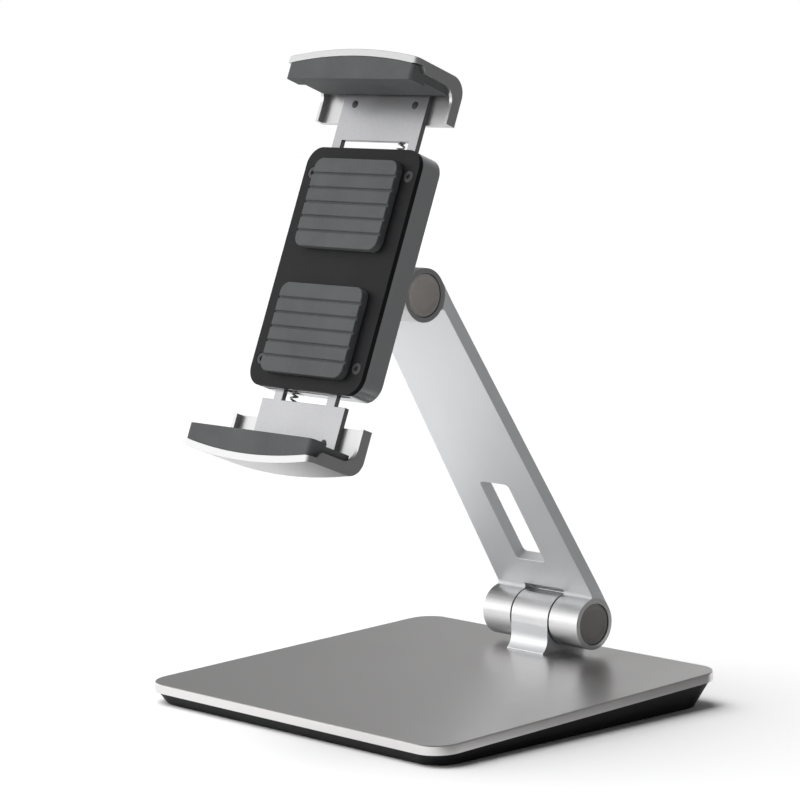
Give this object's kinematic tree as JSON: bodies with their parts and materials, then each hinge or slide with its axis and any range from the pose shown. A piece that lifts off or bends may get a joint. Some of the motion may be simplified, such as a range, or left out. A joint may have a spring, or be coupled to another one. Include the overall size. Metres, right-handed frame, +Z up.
{
  "type": "tablet stand",
  "caption": "Desk stand for a tablet: a weighted wedge base, a folding arm with a cable slot, and a tilting, swivelling head with sprung jaws.",
  "frame": {"origin": "on the desk, at the centre of the base's footprint", "axes": "+Z up, +X to the right as seen from the front, +Y to the back, where the arm's hinge is"},
  "size_m": [0.1606, 0.17, 0.2472],
  "materials": {
    "plate_aluminium": "fine bead-blasted, anodised silver-grey",
    "arm_aluminium": "satin anodised silver",
    "jaw_aluminium": "satin anodised silver",
    "cover_aluminium": "satin anodised silver",
    "hinge_steel": "machined",
    "spring_steel": "drawn wire, satin",
    "slider_steel": "stamped sheet",
    "screw_steel": "black oxide",
    "ballast_steel": "hot rolled plate",
    "black_plastic": "fine moulded grain",
    "cap_plastic": "satin",
    "washer_polymer": "satin",
    "pad_rubber": "matt silicone",
    "mat_rubber": "matt silicone, fine diamond grip"
  },
  "bodies": {
    "base": {"base_plate": "plate_aluminium", "base_tray": "black_plastic", "foot_mat": "mat_rubber", "ballast_lower": "ballast_steel", "ballast_upper": "ballast_steel", "tray_screws": "screw_steel", "ballast_screws": "screw_steel", "hinge_bracket": "arm_aluminium", "bracket_screws": "screw_steel", "lower_bolt": "hinge_steel", "lower_disc_spring": "spring_steel", "lower_nut": "hinge_steel"},
    "arm_link": {"arm": "arm_aluminium", "lower_washers": "washer_polymer", "lower_caps": "cap_plastic", "upper_washers": "washer_polymer", "upper_caps": "cap_plastic"},
    "tilt_head": {"tilt_block": "arm_aluminium", "upper_bolt": "hinge_steel", "upper_disc_spring": "spring_steel", "upper_nut": "hinge_steel", "swivel_bolt": "hinge_steel", "swivel_wave_washer": "spring_steel"},
    "clamp": {"swivel_ring": "washer_polymer", "rear_cover": "cover_aluminium", "front_cover": "black_plastic", "cover_screws": "screw_steel", "grip_pads": "pad_rubber", "spring_posts": "hinge_steel", "upper_spring": "spring_steel", "lower_spring": "spring_steel"},
    "upper_grip": {"upper_slider": "slider_steel", "upper_jaw": "jaw_aluminium", "upper_jaw_pad": "pad_rubber", "upper_jaw_screws": "screw_steel"},
    "lower_grip": {"lower_slider": "slider_steel", "lower_jaw": "jaw_aluminium", "lower_jaw_pad": "pad_rubber", "lower_jaw_screws": "screw_steel"}
  },
  "joints": [
    {"name": "arm_pivot", "type": "hinge", "parent": "base", "child": "arm_link", "pos_m": [0, 0.0627, 0.0253], "axis": [1, 0, 0], "range_deg": [-40, 30]},
    {"name": "head_tilt", "type": "hinge", "parent": "arm_link", "child": "tilt_head", "pos_m": [0, -0.02239, 0.15784], "axis": [-1, 0, 0], "range_deg": [-40, 75]},
    {"name": "head_swivel", "type": "hinge", "parent": "tilt_head", "child": "clamp", "pos_m": [0, -0.02239, 0.15784], "axis": [0, -0.9323, 0.3616], "continuous": true},
    {"name": "upper_jaw_slide", "type": "slide", "parent": "clamp", "child": "upper_grip", "axis": [0, 0.3616, 0.9323], "range_m": [-0.01, 0.03], "deforming": ["upper_spring"]},
    {"name": "lower_jaw_slide", "type": "slide", "parent": "clamp", "child": "lower_grip", "axis": [0, -0.3616, -0.9323], "range_m": [-0.01, 0.03], "deforming": ["lower_spring"]}
  ]
}
